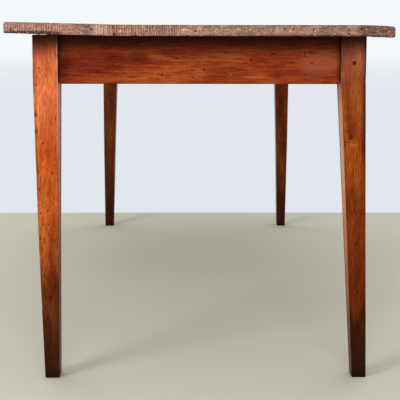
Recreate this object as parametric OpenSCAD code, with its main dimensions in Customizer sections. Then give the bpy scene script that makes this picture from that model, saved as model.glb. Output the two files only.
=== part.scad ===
// Farmhouse table on four tapered legs, with a pegged frame and a plank top.
// X runs across the table, Y along it, Z up. The origin is on the floor under its middle.
// The front end of the table faces -Y. All sizes are in millimetres.

/* [Top] */
// Length of the top
top_l = 1600; // [1300:10:2200]
// Width of the top
top_w = 785; // [740:1:900]
// Thickness of the boards
board_t = 23; // [20:0.5:32]
// Width of the board at the left edge
left_board_w = 220.5; // [180:0.5:240]
// Width of the board at the right edge
right_board_w = 182.5; // [150:0.5:200]
// Distance of the middle seam from half way between the outer ones
mid_seam_shift = 1; // [-15:0.5:15]
// Open seam between two boards, where they have shrunk
seam = 0.5; // [0.3:0.1:0.9]
// Height that the left board's outer edge has lifted
left_lift = 5.2; // [0:0.1:8]
// Crown of the left board between its seam and its outer edge
left_crown = 0.3; // [0:0.1:1]
// Depth that the right board's outer edge has sunk
right_droop = 2.8; // [0:0.2:4]
// Radius worn on the upper edges of the long sides
upper_edge_r = 5; // [1:0.5:6]
// Radius worn on the lower edges of the long sides
lower_edge_r = 3.5; // [1:0.5:4]
// Radius of the top's corners, seen from above
corner_r = 9; // [3:1:20]

/* [Loose tongues] */
// Thickness of the tongues that join the boards
tongue_t = 6; // [4:0.5:8]
// Width of a tongue, half of it in each board
tongue_w = 22; // [16:1:30]
// Distance from a tongue's end to the board's end, which hides the tongue
tongue_stop = 30; // [15:1:60]

/* [Legs] */
// Height of the legs up to the underside of the top
leg_h = 729; // [680:1:780]
// Side of the square head of a leg
leg_head = 52; // [50:1:58]
// Width of a foot, seen from the end of the table
foot_w = 28; // [24:1:36]
// Depth of a foot, seen from the side of the table
foot_d = 31; // [24:1:36]
// Distance from the top's long edge to the legs
overhang_side = 49; // [38:0.5:60]
// Distance from the top's end to the legs
overhang_end = 50; // [40:1:80]
// Outward lean of the front left foot
lean_front_left = -3.5; // [-8:0.5:28]
// Outward lean of the front right foot
lean_front_right = 25; // [-8:0.5:28]
// Outward lean of the rear left foot
lean_rear_left = 9.5; // [-8:0.5:28]
// Outward lean of the rear right foot
lean_rear_right = 5; // [-8:0.5:28]
// Outward lean of all four feet, seen from the side of the table
lean_along = 6; // [0:0.5:10]
// Belly that the plane left half way down each tapered face
swell = 0.5; // [0:0.1:2]
// Bevel worn round the bottom of each foot
foot_bevel = 2.5; // [1:0.5:4]

/* [Aprons] */
// Height of all four aprons
apron_h = 100; // [90:1:130]
// Thickness of the aprons
apron_t = 22; // [20:0.5:24]
// Setback of the end aprons from the legs' faces
end_setback = 19; // [16:0.5:20]
// Setback of the side aprons from the legs' faces
side_setback = 22; // [20:0.5:24]

/* [Mortise and tenon joints] */
// Thickness of all tenons
tenon_t = 9; // [7:0.5:10]
// Shoulder under each tenon
lower_shoulder = 10; // [6:1:14]
// Shoulder above each tenon, which leaves the leg's head whole
upper_shoulder = 12; // [8:1:18]
// Shoulder on the outer face of a side apron's tenon
outer_shoulder = 10; // [8:0.5:10.5]
// Wood between an end apron's tenon and the leg's outer face
tenon_cheek = 14; // [10:0.5:16]
// Distance from a side apron's tenon to the end apron's tenon that it meets in the leg
tenon_gap = 2; // [1.5:0.5:5]
// Diameter of the pegs
peg_d = 8.5; // [7:0.5:9]
// Length of the pegs through the end aprons' tenons
end_peg_l = 38; // [34:1:42]
// Length of the pegs through the side aprons' tenons
side_peg_l = 47; // [44:1:48]
// Height that a peg's head stands proud
peg_proud = 0.8; // [0.3:0.1:2]
// Wood between a side apron's tenon and the end peg that passes it
end_peg_clear = 2.75; // [1.5:0.25:3]
// Distance from the side apron's shoulder to its peg
side_peg_in = 10; // [8:0.5:11]
// Distance from the leg's top to the pegs through the end tenons
end_peg_drop = 55; // [50:1:62]
// Distance from the leg's top to the pegs through the side tenons
side_peg_drop = 35; // [28:1:38]

/* [Cross bearers] */
// Width of a bearer
bearer_w = 45; // [36:1:60]
// Height of a bearer
bearer_h = 28; // [22:1:40]
// Distance between two bearers, centre to centre
bearer_pitch = 390; // [300:5:450]
// Length of the dovetail at each end of a bearer
tail_l = 13; // [8:0.5:16]
// Depth of the dovetail's waist on each side
tail_waist = 6; // [3:0.5:9]
// Flare of the dovetail from waist to tip on each side
tail_flare = 3.5; // [2:0.5:5]

/* [Nails] */
// Length of a nail
nail_l = 46; // [40:1:52]
// Diameter of a nail's shank
nail_d = 4.5; // [3.5:0.1:5.5]
// Diameter of a nail's rose head
nail_head_d = 9; // [8:0.5:11]
// Thickness of a nail's head
nail_head_t = 1.6; // [1:0.1:2.5]
// Rise of the rose head above the board
nail_rose = 0.2; // [0.2:0.1:1]
// Distance from a seam to the nails beside it
nail_edge = 45; // [30:1:60]
// Distance from a leg's two outer faces to the nail in its head
head_nail_in = 12; // [11:0.5:12.5]

/* [Hidden] */

// Colours of the waxed frame, the worn top, its inner pieces, the pegs and the iron
leg_red = [0.52, 0.23, 0.11];
apron_red = [0.42, 0.16, 0.08];
top_brown = [0.52, 0.36, 0.27];
bare_wood = [0.66, 0.49, 0.33];
peg_brown = [0.25, 0.11, 0.06];
iron_grey = [0.16, 0.14, 0.13];

// Clearances round a tenon, past a tenon's tip, round a tongue, under a board and round a peg or nail
tenon_fit = 0.2;
mortise_spare = 1;
tongue_fit = 0.3;
seat_fit = 0.2;
bore_fit = 0.1;
// Amount by which a cutting shape passes the face that it cuts
past = 1;
// Bevel on a peg's head, and the length and depth of the taper at its point
peg_bevel = 0.6;
peg_point_l = 8;
peg_point_in = 1.2;
// Steps in a board's warped face and in each worn edge
warp_steps = 10;
edge_steps = 5;
$fn = 48;
sides = [-1, 1];

// Edges of the top, faces of the legs and places of the aprons
half_w = top_w / 2;
half_l = top_l / 2;
leg_out_x = half_w - overhang_side;
leg_in_x = leg_out_x - leg_head;
leg_out_y = half_l - overhang_end;
leg_in_y = leg_out_y - leg_head;
apron_z = leg_h - apron_h;
end_face_y = leg_out_y - end_setback;
side_face_x = leg_out_x - side_setback;
side_in_x = side_face_x - apron_t;

// Tenons: both kinds have the same height, and the side apron's stops short of the end apron's
tenon_z = apron_z + lower_shoulder;
tenon_h = apron_h - lower_shoulder - upper_shoulder;
end_tenon_tip_x = leg_out_x - tenon_cheek;
end_tenon_in_y = end_face_y - tenon_t;
side_tenon_out_x = side_face_x - outer_shoulder;
side_tenon_tip_y = end_tenon_in_y - tenon_gap;
end_peg_x = side_tenon_out_x + end_peg_clear + peg_d / 2;
side_peg_y = leg_in_y + side_peg_in;

// Seams of the top from left to right, and the places of the bearers
seam_left = -half_w + left_board_w;
seam_right = half_w - right_board_w;
seam_middle = (seam_left + seam_right) / 2 + mid_seam_shift;
bearer_ys = [-bearer_pitch, 0, bearer_pitch];

// Rise of the boards above the frame at a place across the table. The left board has lifted
// from its seam outwards, and the right board droops past the side apron.
function lifted(x) = max(0, (seam_left - x) / left_board_w);
function drooped(x) = max(0, (x - side_face_x) / (half_w - side_face_x));
function rise(x) =
    left_lift * lifted(x)
    + 4 * left_crown * lifted(x) * (1 - lifted(x))
    - right_droop * pow(drooped(x), 2);
function face_z(x) = leg_h + board_t + rise(x);

// Outline of a board across the table before it warps: two faces in steps, between two edges
// that are square at a seam and worn round on the outside
function worn_edge(x, z, r, start) = [
    for (i = [0:edge_steps]) let (a = start + 90 * i / edge_steps) [x + r * cos(a), z + r * sin(a)]
];
function left_edge(x, worn) = worn
    ? concat(worn_edge(x + upper_edge_r, board_t - upper_edge_r, upper_edge_r, 90),
             worn_edge(x + lower_edge_r, lower_edge_r, lower_edge_r, 180))
    : [[x, board_t], [x, 0]];
function right_edge(x, worn) = worn
    ? concat(worn_edge(x - lower_edge_r, lower_edge_r, lower_edge_r, 270),
             worn_edge(x - upper_edge_r, board_t - upper_edge_r, upper_edge_r, 0))
    : [[x, 0], [x, board_t]];
function face_points(x0, x1, z) = [for (i = [1:warp_steps - 1]) [x0 + (x1 - x0) * i / warp_steps, z]];
function board_outline(x0, x1, worn_left, worn_right) = concat(
    left_edge(x0, worn_left),
    face_points(x0, x1, 0),
    right_edge(x1, worn_right),
    face_points(x1, x0, board_t)
);
function warped(points) = [for (p = points) [p[0], p[1] + rise(p[0])]];

// Places of the nails, each [x, y]. The outermost in a row are half way from a seam to a leg.
leg_nail_x = leg_out_x - head_nail_in;
leg_nail_y = leg_out_y - head_nail_in;
leg_nails = [for (sx = sides) for (sy = sides) [sx * leg_nail_x, sy * leg_nail_y]];
seam_nail_xs = [
    (seam_left - leg_in_x) / 2,
    seam_left + nail_edge,
    seam_middle - nail_edge,
    seam_middle + nail_edge,
    seam_right - nail_edge,
    (seam_right + leg_in_x) / 2
];
end_nails = [for (sy = sides) for (x = seam_nail_xs) [x, sy * (end_face_y - apron_t / 2)]];
bay_nails = [for (y = bearer_ys) for (x = seam_nail_xs) [x, y]];
side_nail_ys = [bearer_pitch / 2, (bearer_pitch + leg_in_y) / 2];
side_nail_x = side_face_x - apron_t / 2;
side_nails = [for (sx = sides) for (sy = sides) for (y = side_nail_ys) [sx * side_nail_x, sy * y]];
top_nails = concat(leg_nails, end_nails, bay_nails, side_nails);

// A hand-made nail driven down through the top, and the hole that takes it
module nail(x, y) {
    translate([x, y, face_z(x)]) rotate_extrude() polygon([
        [0, nail_rose],
        [nail_head_d / 4, nail_rose * 0.7],
        [nail_head_d / 2, -nail_head_t / 2],
        [nail_head_d / 2, -nail_head_t],
        [nail_d / 2, -nail_head_t],
        [nail_d / 2, -nail_l * 0.7],
        [nail_d / 6, -nail_l],
        [0, -nail_l]
    ]);
}
module nail_hole(x, y) {
    translate([x, y, face_z(x) - nail_l]) cylinder(d = nail_d + 2 * bore_fit, h = nail_l + past);
    translate([x, y, face_z(x) - nail_head_t]) cylinder(d = nail_head_d + 2 * bore_fit, h = board_t);
}
module nails(places) {
    for (p = places) nail(p[0], p[1]);
}
module nail_holes(places) {
    for (p = places) nail_hole(p[0], p[1]);
}
module leg_head_nails() {
    color(iron_grey) nails(leg_nails);
}
module end_apron_nails() {
    color(iron_grey) nails(end_nails);
}
module side_apron_nails() {
    color(iron_grey) nails(side_nails);
}
module bearer_nails() {
    color(iron_grey) nails(bay_nails);
}

// One board of the top from x0 to x1, warped, with its grooves and nail holes
module top_plan() {
    for (sx = sides) for (sy = sides) {
        translate([sx * (half_w - corner_r), sy * (half_l - corner_r)]) circle(corner_r);
    }
    square([top_w - 2 * corner_r, top_l], center = true);
    square([top_w, top_l - 2 * corner_r], center = true);
}
module board(x0, x1, worn_left, worn_right) {
    color(top_brown) difference() {
        intersection() {
            translate([0, half_l, leg_h]) rotate([90, 0, 0]) linear_extrude(top_l)
                polygon(warped(board_outline(x0, x1, worn_left, worn_right)));
            translate([0, 0, leg_h - board_t]) linear_extrude(3 * board_t) top_plan();
        }
        if (!worn_left) tongue_slot(x0 - seam / 2, tongue_fit);
        if (!worn_right) tongue_slot(x1 + seam / 2, tongue_fit);
        nail_holes([for (p = top_nails) if (p[0] > x0 && p[0] < x1) p]);
    }
}
module top_board_left() {
    board(-half_w, seam_left - seam / 2, true, false);
}
module top_board_mid_left() {
    board(seam_left + seam / 2, seam_middle - seam / 2, false, false);
}
module top_board_mid_right() {
    board(seam_middle + seam / 2, seam_right - seam / 2, false, false);
}
module top_board_right() {
    board(seam_right + seam / 2, half_w, false, true);
}

// A loose tongue in a seam, grown by its fit where it cuts the stopped grooves
module tongue_slot(x, fit) {
    w = tongue_w + 2 * fit;
    t = tongue_t + 2 * fit;
    l = top_l - 2 * tongue_stop + 2 * fit;
    translate([x - w / 2, -l / 2, leg_h + (board_t - t) / 2]) cube([w, l, t]);
}
module tongue_left() {
    color(bare_wood) tongue_slot(seam_left, 0);
}
module tongue_middle() {
    color(bare_wood) tongue_slot(seam_middle, 0);
}
module tongue_right() {
    color(bare_wood) tongue_slot(seam_right, 0);
}

// Shapes of the rear right corner are mirrored to the other three
module at_corner(side, end) {
    mirror([side < 0 ? 1 : 0, 0, 0]) mirror([0, end < 0 ? 1 : 0, 0]) children();
}

// Tenons of the rear right corner. A fit and a spare length turn them into their mortises.
module end_tenon(fit = 0, spare = 0) {
    translate([leg_in_x - past, end_tenon_in_y - fit, tenon_z - fit])
        cube([end_tenon_tip_x - leg_in_x + past + spare, tenon_t + 2 * fit, tenon_h + 2 * fit]);
}
module side_tenon(fit = 0, spare = 0) {
    translate([side_tenon_out_x - tenon_t - fit, leg_in_y - past, tenon_z - fit])
        cube([tenon_t + 2 * fit, side_tenon_tip_y - leg_in_y + past + spare, tenon_h + 2 * fit]);
}

// Pegs of the rear right corner, each with its head outwards, and their bores
module peg(l) {
    rotate_extrude() polygon([
        [0, 0],
        [peg_d / 2 - peg_bevel, 0],
        [peg_d / 2, -peg_bevel],
        [peg_d / 2, peg_point_l - l],
        [peg_d / 2 - peg_point_in, -l],
        [0, -l]
    ]);
}
module peg_bore(l) {
    translate([0, 0, -l - past]) cylinder(d = peg_d + 2 * bore_fit, h = l + 2 * past);
}
module at_end_peg() {
    translate([end_peg_x, leg_out_y + peg_proud, leg_h - end_peg_drop]) rotate([-90, 0, 0]) children();
}
module at_side_peg() {
    translate([leg_out_x + peg_proud, side_peg_y, leg_h - side_peg_drop]) rotate([0, 90, 0]) children();
}
module corner_bores() {
    at_end_peg() peg_bore(end_peg_l);
    at_side_peg() peg_bore(side_peg_l);
}
module end_joint_pegs() {
    color(peg_brown) for (sx = sides) for (sy = sides) at_corner(sx, sy) at_end_peg() peg(end_peg_l);
}
module side_joint_pegs() {
    color(peg_brown) for (sx = sides) for (sy = sides) at_corner(sx, sy) at_side_peg() peg(side_peg_l);
}

// Profile of a leg from one side: a straight head, and below the aprons two planed faces that
// taper to the foot with a slight belly. The head's top runs from top_in to top_out.
module leg_profile(in, out, foot, lean, top_in, top_out) {
    foot_in = (in + out - foot) / 2 + lean;
    foot_out = foot_in + foot;
    polygon([
        [in, top_in],
        [in, apron_z],
        [(in + foot_in) / 2 - swell, apron_z / 2],
        [foot_in, foot_bevel],
        [foot_in + foot_bevel, 0],
        [foot_out - foot_bevel, 0],
        [foot_out, foot_bevel],
        [(out + foot_out) / 2 + swell, apron_z / 2],
        [out, apron_z],
        [out, top_out]
    ]);
}

// One leg with its two mortises and its bores. Its head is planed to clear the board above it.
module leg(side, end, lean) {
    top_in = leg_h + min(0, rise(side * leg_in_x)) - seat_fit;
    top_out = leg_h + min(0, rise(side * leg_out_x)) - seat_fit;
    color(leg_red) difference() {
        at_corner(side, end) difference() {
            intersection() {
                translate([0, leg_out_y + leg_head, 0]) rotate([90, 0, 0]) linear_extrude(3 * leg_head)
                    leg_profile(leg_in_x, leg_out_x, foot_w, lean, top_in, top_out);
                translate([leg_in_x - leg_head, 0, 0]) rotate([90, 0, 90]) linear_extrude(3 * leg_head)
                    leg_profile(leg_in_y, leg_out_y, foot_d, lean_along, leg_h, leg_h);
            }
            end_tenon(tenon_fit, mortise_spare);
            side_tenon(tenon_fit, mortise_spare);
            corner_bores();
        }
        nail_holes([for (p = leg_nails) if (p[0] * side > 0 && p[1] * end > 0) p]);
    }
}
module leg_front_left() {
    leg(-1, -1, lean_front_left);
}
module leg_front_right() {
    leg(1, -1, lean_front_right);
}
module leg_rear_left() {
    leg(-1, 1, lean_rear_left);
}
module leg_rear_right() {
    leg(1, 1, lean_rear_right);
}

// End apron between two legs, with a barefaced tenon at each end
module end_apron(end) {
    color(apron_red) difference() {
        union() {
            translate([-leg_in_x, end > 0 ? end_face_y - apron_t : -end_face_y, apron_z])
                cube([2 * leg_in_x, apron_t, apron_h]);
            for (side = sides) at_corner(side, end) end_tenon();
        }
        for (side = sides) at_corner(side, end) corner_bores();
        nail_holes([for (p = end_nails) if (p[1] * end > 0) p]);
    }
}
module end_apron_front() {
    end_apron(-1);
}
module end_apron_rear() {
    end_apron(1);
}

// Side apron, planed on top to carry its board, with two tenons and the bearers' housings
module side_apron(side) {
    top_in = leg_h + rise(side * side_in_x) - seat_fit;
    top_out = leg_h + rise(side * side_face_x) - seat_fit;
    color(apron_red) difference() {
        union() {
            at_corner(side, 1) translate([0, leg_in_y, 0]) rotate([90, 0, 0]) linear_extrude(2 * leg_in_y)
                polygon([
                    [side_in_x, apron_z],
                    [side_face_x, apron_z],
                    [side_face_x, top_out],
                    [side_in_x, top_in]
                ]);
            for (end = sides) at_corner(side, end) side_tenon();
        }
        for (end = sides) at_corner(side, end) corner_bores();
        for (y = bearer_ys) translate([0, y, leg_h - bearer_h]) linear_extrude(bearer_h + board_t)
            at_corner(side, 1) housing_plan();
        nail_holes([for (p = side_nails) if (p[0] * side > 0) p]);
    }
}
module side_apron_left() {
    side_apron(-1);
}
module side_apron_right() {
    side_apron(1);
}

// Cross bearer, let into both side aprons by dovetails from above
function tail_points(fit) = let (waist = bearer_w / 2 - tail_waist + fit, tip_x = side_in_x + tail_l + fit) [
    [side_in_x, -waist],
    [tip_x, -waist - tail_flare],
    [tip_x, waist + tail_flare],
    [side_in_x, waist]
];
module housing_plan() {
    mouth = bearer_w / 2 - tail_waist + tenon_fit;
    polygon(concat([[side_in_x - past, -mouth]], tail_points(tenon_fit), [[side_in_x - past, mouth]]));
}
module bearer_plan() {
    right_end = concat([[side_in_x, -bearer_w / 2]], tail_points(0), [[side_in_x, bearer_w / 2]]);
    polygon(concat(right_end, [for (p = right_end) -p]));
}
module cross_bearer(y) {
    color(bare_wood) difference() {
        translate([0, y, leg_h - bearer_h]) linear_extrude(bearer_h) bearer_plan();
        nail_holes([for (p = bay_nails) if (p[1] == y) p]);
    }
}
module cross_bearer_front() {
    cross_bearer(bearer_ys[0]);
}
module cross_bearer_middle() {
    cross_bearer(bearer_ys[1]);
}
module cross_bearer_rear() {
    cross_bearer(bearer_ys[2]);
}

leg_front_left();
leg_front_right();
leg_rear_left();
leg_rear_right();
end_apron_front();
end_apron_rear();
side_apron_left();
side_apron_right();
top_board_left();
top_board_mid_left();
top_board_mid_right();
top_board_right();
tongue_left();
tongue_middle();
tongue_right();
cross_bearer_front();
cross_bearer_middle();
cross_bearer_rear();
end_joint_pegs();
side_joint_pegs();
leg_head_nails();
end_apron_nails();
side_apron_nails();
bearer_nails();
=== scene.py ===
"""Looks of a long farmhouse table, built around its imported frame.

Everything is in metres and in the frame's own axes: X across the table, Y along it, Z up, with
the front end at -Y. Each wooden piece that shows is a box of fine quads laid over its CAD node.
Its arrises are worn round, its faces are planed and dented, and then it is bent to the node's
own taper or warp. All wood is drawn by nodes from the pieces' own coordinates.
"""
import math

import bpy
import numpy as np
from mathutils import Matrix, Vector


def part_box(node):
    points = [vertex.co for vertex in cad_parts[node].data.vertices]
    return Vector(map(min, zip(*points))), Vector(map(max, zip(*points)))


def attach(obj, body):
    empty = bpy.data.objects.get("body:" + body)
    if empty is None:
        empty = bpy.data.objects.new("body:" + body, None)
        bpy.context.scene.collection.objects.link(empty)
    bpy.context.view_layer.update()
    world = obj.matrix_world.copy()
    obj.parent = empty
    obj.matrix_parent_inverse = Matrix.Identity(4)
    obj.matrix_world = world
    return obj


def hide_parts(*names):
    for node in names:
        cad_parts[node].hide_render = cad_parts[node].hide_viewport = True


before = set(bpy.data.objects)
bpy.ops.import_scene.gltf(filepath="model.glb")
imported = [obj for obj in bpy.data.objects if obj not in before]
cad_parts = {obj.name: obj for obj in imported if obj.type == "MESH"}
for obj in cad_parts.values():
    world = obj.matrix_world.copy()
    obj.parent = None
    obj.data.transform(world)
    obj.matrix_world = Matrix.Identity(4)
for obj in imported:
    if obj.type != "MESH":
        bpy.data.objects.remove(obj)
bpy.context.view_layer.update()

MM = 0.001

# The camera stands where the photo was taken from. Its focal length is in pixels of the frame.
CAMERA_PLACE = (-16.6 * MM, -2560.7 * MM, 745 * MM)
FOCAL_PX, FRAME_PX, SENSOR_MM = 879.6, 400, 36
PITCH_DOWN, ROLL, YAW = 6.122, -0.091, -0.543
FRAME_SHIFT = -0.194


def linked(name, data):
    """A new object in the scene."""
    piece = bpy.data.objects.new(name, data)
    bpy.context.scene.collection.objects.link(piece)
    return piece


def make_camera():
    """The photo's view along the table from its front end."""
    camera = bpy.data.cameras.new("camera")
    camera.sensor_width = SENSOR_MM
    camera.lens = FOCAL_PX / FRAME_PX * SENSOR_MM
    camera.shift_y = FRAME_SHIFT
    holder = linked("camera", camera)
    holder.location = CAMERA_PLACE
    holder.rotation_euler = [math.radians(a) for a in (90 - PITCH_DOWN, ROLL, YAW)]
    bpy.context.scene.camera = holder


def shade(red, green, blue):
    """A colour given as it looks on screen, 0 to 255, as linear light."""

    def linear(c):
        c = c / 255
        return c / 12.92 if c <= 0.04045 else ((c + 0.055) / 1.055) ** 2.4

    return (linear(red), linear(green), linear(blue), 1)


class Nodes:
    """Short ways to add nodes to a material or a world. Most return an output socket."""

    # A Mix node's inputs for numbers and for colours, and its output for colours
    NUMBERS, COLOURS, COLOUR_OUT = (0, 2, 3), (0, 6, 7), 2

    def __init__(self, owner):
        self.owner = owner
        owner.use_nodes = True
        self.tree = owner.node_tree
        self.tree.nodes.clear()

    def put(self, socket, value):
        if isinstance(value, bpy.types.NodeSocket):
            self.tree.links.new(value, socket)
        else:
            socket.default_value = value

    def fill(self, node, sockets, *values):
        """Puts a value on each socket of a node, and gives the node's outputs."""
        for socket, value in zip(sockets, values):
            self.put(node.inputs[socket], value)
        return node.outputs

    def add(self, kind, settings=(), **inputs):
        node = self.tree.nodes.new("ShaderNode" + kind)
        for name, value in dict(settings).items():
            setattr(node, name, value)
        for name, value in inputs.items():
            self.put(node.inputs[name.replace("_", " ")], value)
        return node

    def place(self):
        """Coordinates in the frame's own axes."""
        return self.split(self.add("TexCoord").outputs["Object"])

    def math(self, operation, *values):
        return self.fill(self.add("Math", {"operation": operation}), (0, 1, 2), *values)[0]

    def chain(self, operation, values):
        total = values[0]
        for value in values[1:]:
            total = self.math(operation, total, value)
        return total

    def times(self, *values):
        return self.chain("MULTIPLY", values)

    def plus(self, *values):
        return self.chain("ADD", values)

    def most(self, *values):
        return self.chain("MAXIMUM", values)

    def below(self, value, limit):
        return self.math("LESS_THAN", value, limit)

    def scaled(self, value, factor, shift):
        return self.math("MULTIPLY_ADD", value, factor, shift)

    def length(self, vector):
        return self.add("VectorMath", {"operation": "LENGTH"}, Vector=vector).outputs["Value"]

    def split(self, vector):
        return self.add("SeparateXYZ", Vector=vector).outputs

    def join(self, x, y, z):
        return self.add("CombineXYZ", X=x, Y=y, Z=z).outputs[0]

    def remap(self, value, low, high, to_low=0.0, to_high=1.0, ease="SMOOTHSTEP"):
        """Eases from one level to another as the value goes from low to high."""
        limits = {"From_Min": low, "From_Max": high, "To_Min": to_low, "To_Max": to_high}
        return self.add("MapRange", {"interpolation_type": ease}, Value=value, **limits).outputs[0]

    def fade(self, value, low, high):
        return self.remap(value, low, high, 1.0, 0.0)

    def blend(self, factor, a, b):
        """Plain number between two others."""
        return self.fill(self.add("Mix", {"data_type": "FLOAT"}), self.NUMBERS, factor, a, b)[0]

    def mix(self, factor, a, b, blend="MIX"):
        node = self.add("Mix", {"data_type": "RGBA", "blend_type": blend})
        return self.fill(node, self.COLOURS, factor, a, b)[self.COLOUR_OUT]

    def mix_shaders(self, factor, a, b):
        return self.fill(self.add("MixShader"), (0, 1, 2), factor, a, b)[0]

    def dim(self, colour, level):
        """The colour times a level, or times another colour."""
        if not isinstance(level, (bpy.types.NodeSocket, tuple)):
            level = (level, level, level, 1)
        return self.mix(1.0, colour, level, "MULTIPLY")

    def glaze(self, share, colour, tint):
        """The colour, and by a share the colour times a tint."""
        return self.mix(share, colour, self.dim(colour, tint))

    def tinted(self, colour, value, low, high, tint_low, tint_high):
        """The colour times a tint that eases from one to another as the value rises."""
        return self.dim(colour, self.mix(self.remap(value, low, high), tint_low, tint_high))

    def noise(self, vector, detail=2.0, rough=0.5):
        node = self.add("TexNoise", Vector=vector, Scale=1.0, Detail=detail, Roughness=rough)
        return node.outputs[0]

    def attribute(self, name):
        return self.add("Attribute", {"attribute_name": name}).outputs["Fac"]

    def ramp(self, value, places, colours):
        node = self.add("ValToRGB", Fac=value)
        elements = node.color_ramp.elements
        while len(elements) < len(places):
            elements.new(0.5)
        for element, place, colour in zip(elements, places, colours):
            element.position = place
            element.color = colour
        return node.outputs[0]

    def level(self, value, stops):
        """A ramp of plain levels up to 1, as (place, level) pairs."""
        return self.ramp(value, [place for place, _ in stops], [(grey, grey, grey, 1) for _, grey in stops])

    def finish(self, colour, rough, height, relief, gloss, metal=0.0):
        """Ends the graph: its colour, roughness and surface relief, which is in metres."""
        bump = self.add("Bump", Strength=1.0, Distance=relief, Height=height).outputs[0]
        shine = {"Roughness": rough, "Specular_IOR_Level": gloss, "Metallic": metal}
        bsdf = self.add("BsdfPrincipled", Base_Color=colour, Normal=bump, **shine)
        self.add("OutputMaterial", Surface=bsdf.outputs[0])
        return self.owner


def new_material(name):
    return Nodes(bpy.data.materials.new(name))


def node_points(name):
    """The vertices of a CAD node."""
    return np.array([v.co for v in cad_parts[name].data.vertices], float)


def node_box(name):
    low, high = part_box(name)
    return np.array(low), np.array(high)


# Places read from the frame: the top's edges, faces and left seam, and the aprons' undersides
LEFT_LOW, LEFT_HIGH = node_box("top_board_left")
MID_LOW, MID_HIGH = node_box("top_board_mid_left")
EDGE_LEFT, EDGE_RIGHT, END_Y = LEFT_LOW[0], node_box("top_board_right")[1][0], MID_HIGH[1]
UNDERSIDE, UPPER_SIDE = MID_LOW[2], MID_HIGH[2]
SEAM_LEFT = (LEFT_HIGH[0] + MID_LOW[0]) / 2
DROOP_START = node_box("side_apron_right")[1][0]
APRON_Z = node_box("end_apron_front")[0][2]
# Warp of the outer boards: what the left one has lifted and crowned, and the right one drooped
LEFT_LIFT, LEFT_CROWN, RIGHT_DROOP = 5.2 * MM, 0.3 * MM, 2.8 * MM
# Heights at which a leg's faces turn: over the foot's bevel, half way up and under the aprons
LEG_TURNS = (2.5 * MM, APRON_Z / 2, APRON_Z)
TURN_SLACK = 0.3 * MM


def rise(x):
    """Height of the warped boards over the flat ones, at an array of places across the table."""
    lifted = np.clip((SEAM_LEFT - x) / (SEAM_LEFT - EDGE_LEFT), 0, 1)
    drooped = np.clip((x - DROOP_START) / (EDGE_RIGHT - DROOP_START), 0, 1)
    return LEFT_LIFT * lifted + 4 * LEFT_CROWN * lifted * (1 - lifted) - RIGHT_DROOP * drooped**2


def section(node, height):
    """Corners of a CAD node's outline at one of the heights where its faces turn."""
    points = node_points(node)
    level = points[np.abs(points[:, 2] - height) < TURN_SLACK]
    return level.min(axis=0), level.max(axis=0)


# Large factors that scatter the cells of the smooth noise
HASH_X, HASH_Y, HASH_Z, HASH_SEED, HASH_MIX = 73856093, 19349663, 83492791, 2654435761, 1274126177


def hashed(cell, seed):
    """A value from -1 to 1 for each whole-numbered cell, the same on each run."""
    h = cell[:, 0] * HASH_X ^ cell[:, 1] * HASH_Y ^ cell[:, 2] * HASH_Z ^ seed * HASH_SEED
    h = ((h ^ (h >> 13)) * HASH_MIX) & 0xFFFFFFFF
    return ((h ^ (h >> 16)) & 0xFFFF) / 32767.5 - 1


def waves(points, size, seed):
    """Smooth noise from -1 to 1 whose swells are about size long, given along X, Y and Z."""
    points = points / np.array(size)
    cell = np.floor(points).astype(np.int64)
    part = points - cell
    part = part * part * (3 - 2 * part)
    total = np.zeros(len(points))
    for corner in np.ndindex(2, 2, 2):
        weight = np.prod(np.where(corner, part, 1 - part), axis=1)
        total += weight * hashed(cell + corner, seed)
    return total


def planed_off(points, relief, seed):
    """Depth taken off at each point by an uneven plane. relief is a mean depth and swells' size."""
    depth, size = relief
    return depth * (1 + waves(points, size, seed))


def lines(low, high, step, near):
    """Places of a skin's lines along one axis, close together near both ends."""
    count = max(2, round((high - low - 2 * near[-1]) / step) + 1)
    middle = np.linspace(low + near[-1], high - near[-1], count)[1:-1]
    return np.concatenate([low + near, middle, (high - near)[::-1]])


def skin(xs, ys, zs):
    """Points and outward quads of a box, from its lines along the three axes."""
    shape = (len(xs), len(ys), len(zs))
    i, j, k = np.indices(shape)
    outside = (i % (shape[0] - 1) == 0) | (j % (shape[1] - 1) == 0) | (k % (shape[2] - 1) == 0)
    index = np.full(shape, -1)
    index[outside] = np.arange(outside.sum())
    points = np.stack([xs[i[outside]], ys[j[outside]], zs[k[outside]]], axis=1)
    quads = []
    for axis in range(3):
        for end in (0, -1):
            face = np.take(index, end, axis=axis)
            quad = np.stack([face[:-1, :-1], face[1:, :-1], face[1:, 1:], face[:-1, 1:]], axis=-1)
            quad = quad.reshape(-1, 4)
            outward = (end == -1) != (axis == 1)
            quads.append(quad if outward else quad[:, ::-1])
    return points, np.concatenate(quads)


# Lines of a skin near each arris, and the reach of an arris's dirt
ARRIS_LINES = np.array([0, 0.45, 1.0, 1.7, 2.6, 3.8]) * MM
ARRIS_REACH = 7 * MM
# Largest radius as a share of a box's thickness, and what keeps a division from zero
MOST_ROUND, SMALLEST = 0.49, 1e-9


def box_skin(low, high, steps):
    """Points and quads of a box's skin, and how close each point is to an arris, 0 to 1."""
    points, quads = skin(*(lines(a, b, step, ARRIS_LINES) for a, b, step in zip(low, high, steps)))
    inside = np.sort(np.minimum(points - low, high - points), axis=1)[:, 1]
    return points, quads, closeness(inside, ARRIS_REACH)


def closeness(distance, reach):
    return np.clip(1 - np.abs(distance) / reach, 0, 1)


def rounded(points, low, high, radius):
    """The skin's points with its arrises worn to the radius at each point, and the way out there.

    Points that lie deeper than the radius in the box stay where they are, with no way out.
    """
    r = np.minimum(radius, MOST_ROUND * (high - low).min())[:, None]
    core = np.clip(points, low + r, high - r)
    away = points - core
    away /= np.maximum(np.linalg.norm(away, axis=1, keepdims=True), SMALLEST)
    return core + away * r, away


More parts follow.
